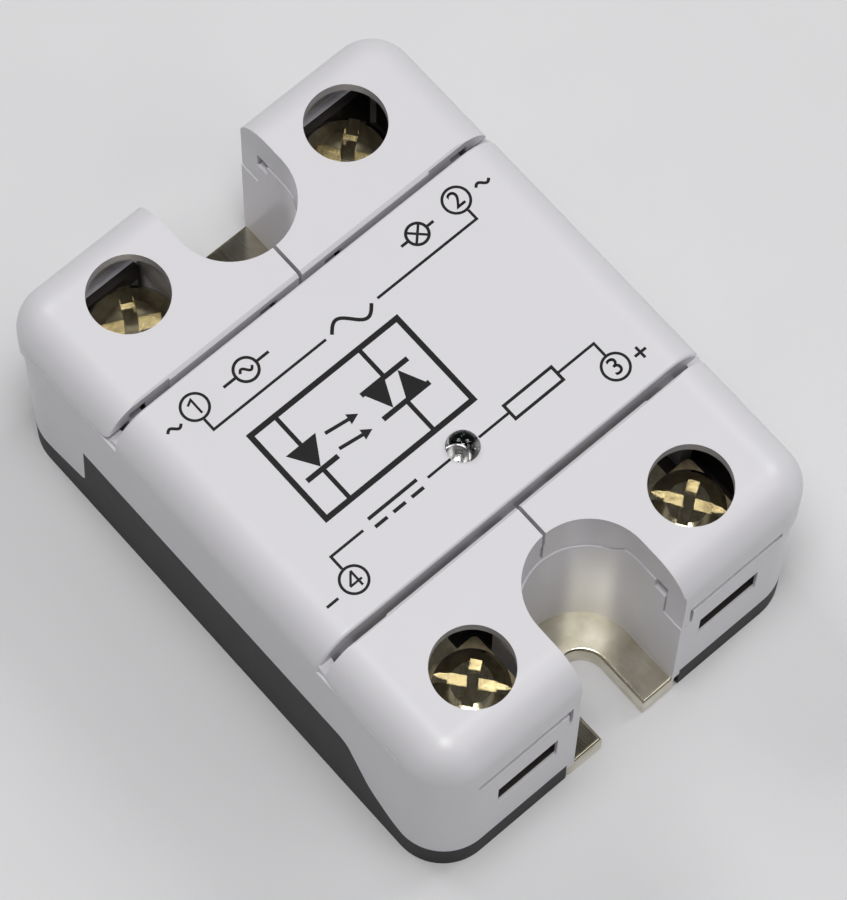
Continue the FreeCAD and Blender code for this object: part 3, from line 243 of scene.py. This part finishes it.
# Terminal numbers: where each stands, the ring's outer radius, and the typeface's settings.
TERMINALS = {"1": (-15.28, 10.85), "2": (15.08, 10.7), "3": (15.1, -10.5), "4": (-15.25, -10.4)}
BADGE = 1.42
NUMERAL_HIGH = 1.75
TYPE_SIZE = 1.38
TYPE_WEIGHT = 0.016

# The two circuit lines, and the gaps in them for their signs, the lamp and the resistor.
LOAD_LINE = 8.15
LOAD_GAP = (-2.45, 3.55)
INPUT_LINE = {"left": -7.5, "right": -7.6}
INPUT_SIGN_GAP = (-11.7, -4.25)
LAMP_GAP = 1.6
RESISTOR_AT = 8.0
RESISTOR_LONG = 5.6
RESISTOR_HIGH = 1.6


def panel_height(x):
    """Height of the panel's surface at x, with its rounded long edges."""
    over = max(0.0, abs(x) - (PANEL_HALF - EDGE_ROUND))
    return PANEL_TOP - EDGE_ROUND + math.sqrt(max(0.0, EDGE_ROUND ** 2 - over ** 2))


def mesh_in_metres(work, name):
    """Turns a closed shape drawn in millimetres into a mesh."""
    bmesh.ops.recalc_face_normals(work, faces=work.faces)
    bmesh.ops.scale(work, vec=(MM, MM, MM), verts=work.verts)
    data = bpy.data.meshes.new(name)
    work.to_mesh(data)
    work.free()
    return data


def finish_mesh(name, data, material, body):
    piece = bpy.data.objects.new(name, data)
    SCENE.collection.objects.link(piece)
    data.materials.clear()
    data.materials.append(material)
    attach(piece, body)
    return piece


def printed(name, draw):
    """Closed film of ink, just proud of the panel, from what draw() puts in the flat."""
    work = bmesh.new()
    draw(work)
    film = bmesh.ops.extrude_face_region(work, geom=work.faces[:])
    for vertex in (v for v in film["geom"] if isinstance(v, bmesh.types.BMVert)):
        vertex.co.z = INK_LIFT
    for vertex in work.verts:
        vertex.co.z += panel_height(vertex.co.x) - INK_LIFT / 3
    return finish_mesh(name, mesh_in_metres(work, name), INK, "relay")


def patch(work, corners):
    """One flat piece of print."""
    work.faces.new([work.verts.new((x, y, 0)) for x, y in corners])


def strip(work, points, width, closed=False):
    """A flat ribbon of print along points, with mitred corners."""
    count = len(points)
    left, right = [], []
    for i, point in enumerate(points):
        here = Vector(point)
        before = Vector(points[i - 1]) if closed or i else None
        after = Vector(points[(i + 1) % count]) if closed or i < count - 1 else None
        into = (here - before).normalized() if before else (after - here).normalized()
        out = (after - here).normalized() if after else into
        along = (into + out).normalized()
        side = Vector((-along.y, along.x)) * (width / 2 / max(0.3, along.dot(into)))
        left.append(here + side)
        right.append(here - side)
    spans = count if closed else count - 1
    rails = [[work.verts.new((p.x, p.y, 0)) for p in rail] for rail in (left, right)]
    for i in range(spans):
        far = (i + 1) % count
        work.faces.new((rails[1][i], rails[1][far], rails[0][far], rails[0][i]))


def ring(work, centre, radius, width, steps=48):
    turn = [2 * math.pi * i / steps for i in range(steps)]
    points = [(centre[0] + radius * math.cos(a), centre[1] + radius * math.sin(a)) for a in turn]
    strip(work, points, width, closed=True)


def sine(work, centre, width, height, thick, steps=20):
    """One full wave."""
    x, y = centre
    points = [(x + width * (i / steps - 0.5), y + height / 2 * math.sin(2 * math.pi * i / steps))
              for i in range(steps + 1)]
    strip(work, points, thick)


def triangle(work, tip, base, half):
    """A filled pointer from the middle of its base to its tip."""
    along = (Vector(tip) - Vector(base)).normalized()
    side = Vector((-along.y, along.x)) * half
    patch(work, [Vector(base) + side, Vector(base) - side, Vector(tip)])


def arrow(work, start, finish, thick, head):
    here, there = Vector(start), Vector(finish)
    neck = there - (there - here).normalized() * head
    strip(work, [tuple(here), tuple(neck)], thick)
    triangle(work, there, neck, head * 0.55)


def numeral_one(work, centre):
    """A plain 1: its flag and its upright in one stroke."""
    stroke = [(-0.44, 0.44), (0.14, 0.76), (0.14, -0.84)]
    strip(work, [(centre[0] + x, centre[1] + y) for x, y in stroke], NUMERAL)


def numeral_four(work, centre):
    """A plain 4 with an open middle: upright, crossbar in two parts, and slope."""
    high, near = 0.84, 0.17
    far = near + NUMERAL
    low_bar, high_bar = -0.18 - NUMERAL, -0.18
    for corners in (((near, -high), (far, -high), (far, high), (near, high)),
                    ((-0.7, low_bar), (near, low_bar), (near, high_bar), (-0.7, high_bar)),
                    ((far, low_bar), (0.64, low_bar), (0.64, high_bar), (far, high_bar)),
                    ((-0.7, high_bar), (-0.42, high_bar), (near, 0.51), (near, high))):
        patch(work, [(centre[0] + x, centre[1] + y) for x, y in corners])


def typed_numeral(text):
    """Gives a numeral in Blender's own plain face, as flat outlines."""
    def draw(work, centre):
        curve = bpy.data.curves.new("numeral", "FONT")
        curve.body = text
        curve.align_x = "CENTER"
        curve.align_y = "CENTER"
        curve.size = NUMERAL_HIGH * TYPE_SIZE
        curve.resolution_u = 6
        curve.offset = TYPE_WEIGHT
        holder = bpy.data.objects.new("numeral", curve)
        flat = bpy.data.meshes.new_from_object(holder)
        flat.transform(Matrix.Translation((*centre, 0)))
        work.from_mesh(flat)
        bpy.data.objects.remove(holder)
        bpy.data.curves.remove(curve)
        bpy.data.meshes.remove(flat)
    return draw


NUMERALS = {"1": numeral_one, "2": typed_numeral("2"), "3": typed_numeral("3"), "4": numeral_four}


def make_terminal_numbers():
    for number, centre in TERMINALS.items():
        def draw(work, number=number, centre=centre):
            ring(work, centre, BADGE - LINE / 2, LINE)
            NUMERALS[number](work, centre)
        printed("terminal_number_" + number, draw)


def make_polarity_marks():
    arm, side, wave_row = 0.65, 17.95, 10.45
    plus_at, minus_at = (17.65, -10.9), (-18.05, -10.8)

    def bar(work, centre):
        strip(work, [(centre[0] - arm, centre[1]), (centre[0] + arm, centre[1])], MARK)

    def plus(work):
        x, y = plus_at
        bar(work, plus_at)
        for way in (-1, 1):
            strip(work, [(x, y + way * MARK / 2), (x, y + way * arm)], MARK)

    printed("mark_ac_left", lambda work: sine(work, (-side, wave_row), 1.5, 0.5, SIGN))
    printed("mark_ac_right", lambda work: sine(work, (side, wave_row), 1.5, 0.5, SIGN))
    printed("mark_plus", plus)
    printed("mark_minus", lambda work: bar(work, minus_at))


def make_circuit_lines():
    """The load circuit and the input circuit, each broken by a sign for its kind of current."""
    left, left_y, right_y = -15.4, INPUT_LINE["left"], INPUT_LINE["right"]

    def load(work):
        right = 15.25
        strip(work, [(left, TERMINALS["1"][1] - BADGE), (left, LOAD_LINE), (LOAD_GAP[0], LOAD_LINE)], LINE)
        strip(work, [(LOAD_GAP[1], LOAD_LINE), (right, LOAD_LINE), (right, TERMINALS["2"][1] - BADGE)], LINE)

    def load_sign(work):
        sine(work, (sum(LOAD_GAP) / 2, LOAD_LINE), 4.6, 1.7, CURRENT)

    def feed(work):
        right = TERMINALS["3"][0]
        strip(work, [(left, TERMINALS["4"][1] + BADGE), (left, left_y), (INPUT_SIGN_GAP[0], left_y)], LINE)
        strip(work, [(INPUT_SIGN_GAP[1], left_y), (-LAMP_GAP, left_y)], LINE)
        half = (RESISTOR_LONG + BOX) / 2
        strip(work, [(LAMP_GAP, right_y), (RESISTOR_AT - half, right_y)], LINE)
        end = TERMINALS["3"][1] + BADGE
        strip(work, [(RESISTOR_AT + half, right_y), (right, right_y), (right, end)], LINE)

    def feed_sign(work):
        start, long, dash, pitch = -10.7, 5.6, 1.4, 2.1
        strip(work, [(start, -7.0), (start + long, -7.0)], CURRENT)
        for i in range(3):
            strip(work, [(start + pitch * i, -7.95), (start + pitch * i + dash, -7.95)], CURRENT)

    printed("load_line", load)
    printed("load_current_sign", load_sign)
    printed("input_line", feed)
    printed("input_current_sign", feed_sign)


def make_circuit_symbols():
    """Plain textbook signs beside the lines: a source, a lamp as its load, and a resistor in the feed."""
    clear = 0.14

    def leads(work, middle, near, far):
        for side in (-1, 1):
            strip(work, [(middle[0] + side * near, middle[1]), (middle[0] + side * far, middle[1])], SIGN)

    def source(work):
        middle, radius = (-9.6, 10.6), 1.15
        ring(work, middle, radius, SIGN)
        sine(work, middle, 1.35, 0.6, LINE)
        leads(work, middle, radius + clear, 2.6)

    def lamp(work):
        middle, radius, reach, open_share = Vector((10.3, 10.5)), 1.05, 0.87, 0.14
        ring(work, middle, radius, SIGN)
        leads(work, middle, radius + clear, 1.9)
        arm = Vector((1, 1)).normalized() * radius * reach
        strip(work, [tuple(middle - arm), tuple(middle + arm)], CROSS)
        for side in (Vector((-arm.y, arm.x)), Vector((arm.y, -arm.x))):
            strip(work, [tuple(middle + side * open_share), tuple(middle + side)], CROSS)

    def resistor(work):
        left, right = RESISTOR_AT - RESISTOR_LONG / 2, RESISTOR_AT + RESISTOR_LONG / 2
        low, high = INPUT_LINE["right"] - RESISTOR_HIGH / 2, INPUT_LINE["right"] + RESISTOR_HIGH / 2
        strip(work, [(left, low), (right, low), (right, high), (left, high)], BOX, closed=True)

    printed("source_symbol", source)
    printed("lamp_symbol", lamp)
    printed("resistor_symbol", resistor)


def make_symbol():
    """A textbook symbol of an optically driven switch: light source, two rays, two opposed thyristors."""
    low, high, left, right = -4.6, 5.6, -13.4, 3.6
    middle = (low + high) / 2
    low_bar, high_bar = middle - 1.35, middle + 1.6
    bar_top, bar_foot = low_bar + BAR / 2, high_bar - BAR / 2
    source, source_bar, source_half = -10.6, 1.8, 1.7
    switch, switch_bar, switch_half, apart = -0.9, 2.7, 1.15, 1.3

    def draw(work):
        strip(work, [(left, low), (right, low), (right, high), (left, high)], BOLD, closed=True)
        for x, lead_end in ((source, high_bar), (switch, high_bar + BAR / 2)):
            strip(work, [(x, high - BOLD / 2), (x, lead_end)], LEAD)
            strip(work, [(x, low_bar - BAR / 2), (x, low + BOLD / 2)], LEAD)
        for x, half, y in ((source, source_bar, low_bar), (switch, switch_bar, low_bar),
                           (switch, switch_bar, high_bar)):
            strip(work, [(x - half, y), (x + half, y)], BAR)
        triangle(work, (source, bar_top), (source, high_bar), source_half)
        triangle(work, (switch - apart, bar_top), (switch - apart, bar_foot), switch_half)
        triangle(work, (switch + apart, bar_foot), (switch + apart, bar_top), switch_half)
        for rise in (1.0, -0.9):
            arrow(work, (-8.3, middle + rise), (-4.9, middle + rise - 0.5), CURRENT, 1.0)

    printed("switch_symbol", draw)


# ---------------------------------------------------------------- indicator
def turned_piece(name, outline, middle, material, steps=32):
    """A solid of revolution about an upright axis, from (radius, height) pairs in millimetres."""
    work = bmesh.new()
    rings = []
    for radius, height in outline:
        if radius < 1e-6:
            rings.append([work.verts.new((0, 0, height))])
            continue
        rings.append([work.verts.new((radius * math.cos(a), radius * math.sin(a), height))
                      for a in (2 * math.pi * i / steps for i in range(steps))])
    for low, high in zip(rings, rings[1:]):
        for i in range(steps):
            far = (i + 1) % steps
            if len(low) == 1:
                work.faces.new((low[0], high[far], high[i]))
            elif len(high) == 1:
                work.faces.new((low[i], low[far], high[0]))
            else:
                work.faces.new((low[i], low[far], high[far], high[i]))
    bmesh.ops.translate(work, vec=(*middle, 0), verts=work.verts)
    data = mesh_in_metres(work, name)
    for face in data.polygons:
        face.use_smooth = True
    return finish_mesh(name, data, material, "relay")


def make_indicator():
    """The clear lamp: a round body with a domed top, with its reflector cup, chip and second post inside."""
    low, high = (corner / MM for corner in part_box("status_led"))
    middle = ((low.x + high.x) / 2, (low.y + high.y) / 2)
    radius, foot, top = (high.x - low.x) / 2, low.z, high.z
    bevel, steps = 0.12, 14
    dome = [(0, foot), (radius - bevel, foot), (radius, foot + bevel)]
    for i in range(steps + 1):
        a = math.pi / 2 * i / steps
        dome.append((radius * math.cos(a), top - radius + radius * math.sin(a)))
    lens = turned_piece("indicator_lens", dome, middle, CLEAR, 64)
    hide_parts("status_led")

    leads, rim, cup_floor = top - 3.9, top - 2.2, top - 2.75
    cup_at, post_at = (middle[0] - 0.3, middle[1]), (middle[0] + 0.62, middle[1])
    cup = [(0, leads), (0.34, leads), (0.34, top - 3.1), (0.62, rim - 0.15), (0.62, rim),
           (0.52, rim), (0.3, cup_floor), (0, cup_floor)]
    turned_piece("indicator_cup", cup, cup_at, TINNED)
    chip_foot, chip_top, chip_half = cup_floor + 0.01, cup_floor + 0.19, 0.17
    chip = [(0, chip_foot), (chip_half, chip_foot), (chip_half, chip_top), (0, chip_top)]
    turned_piece("indicator_chip", chip, cup_at, SILICON, 4)
    post = [(0, leads), (0.2, leads), (0.2, top - 2.5), (0.1, top - 2.4), (0, top - 2.4)]
    turned_piece("indicator_post", post, post_at, TINNED, 16)


# ---------------------------------------------------------------- stage
def make_stage():
    data = bpy.data.meshes.new("floor")
    half = 1.5
    corners = [(-half, -half, 0), (half, -half, 0), (half, half, 0), (-half, half, 0)]
    data.from_pydata(corners, [], [(0, 1, 2, 3)])
    floor = bpy.data.objects.new("floor", data)
    SCENE.collection.objects.link(floor)
    paint = Paint("floor_paper", Roughness=0.85)
    paint.colour(paint.mixed(paint.noise(0.05, 2), (0.785, 0.785, 0.795), (0.80, 0.80, 0.81)))
    paint.bump(paint.noise(1.2, 4), 0.05)
    data.materials.append(paint.material)
    floor.location.z = -0.02 * MM


def soft_light(name, place, aim, size, power):
    data = bpy.data.lights.new(name, "AREA")
    data.shape = "RECTANGLE"
    data.size, data.size_y = size
    data.energy = power
    light = bpy.data.objects.new(name, data)
    light.location = place
    light.rotation_euler = (Vector(aim) - Vector(place)).to_track_quat("-Z", "Y").to_euler()
    SCENE.collection.objects.link(light)


def make_light():
    world = bpy.data.worlds.new("studio")
    world.use_nodes = True
    backdrop = world.node_tree.nodes["Background"]
    backdrop.inputs["Color"].default_value = (0.97, 0.97, 1.0, 1)
    backdrop.inputs["Strength"].default_value = 0.06
    SCENE.world = world
    middle = (0, 0, 0.01)
    soft_light("overhead", (-0.08, -0.08, 0.8), middle, (0.26, 0.26), 2.85)
    soft_light("front", (0.25, -0.45, 0.65), middle, (0.34, 0.34), 0.55)
    soft_light("side", (0.5, -0.05, 0.65), middle, (0.3, 0.3), 1.4)
    soft_light("back", (-0.05, 0.5, 0.65), middle, (0.3, 0.3), 1.25)


def make_camera():
    """The photograph's viewpoint: steeply from above, over the input end's left corner."""
    azimuth, elevation, roll = (math.radians(a) for a in (-132.703, 69.053, -1.591))
    focal = 190.543
    origin_across, origin_up, distance = -1.6494 * MM, -4.5288 * MM, 443.983 * MM
    back = Vector((math.cos(elevation) * math.cos(azimuth), math.cos(elevation) * math.sin(azimuth),
                   math.sin(elevation)))
    across = Vector((0, 0, 1)).cross(back).normalized()
    up = back.cross(across)
    right = across * math.cos(roll) - up * math.sin(roll)
    top = across * math.sin(roll) + up * math.cos(roll)
    data = bpy.data.cameras.new("camera")
    data.lens = focal
    data.sensor_width = 36
    data.clip_start, data.clip_end = 0.01, 10
    camera = bpy.data.objects.new("camera", data)
    camera.matrix_world = Matrix((
        (right.x, top.x, back.x, 0), (right.y, top.y, back.y, 0), (right.z, top.z, back.z, 0), (0, 0, 0, 1)))
    camera.location = back * distance - right * origin_across - top * origin_up
    SCENE.collection.objects.link(camera)
    SCENE.camera = camera
    SCENE.view_settings.view_transform = "Standard"


paint_frame()
make_terminal_numbers()
make_polarity_marks()
make_circuit_lines()
make_circuit_symbols()
make_symbol()
make_indicator()
make_stage()
make_light()
make_camera()
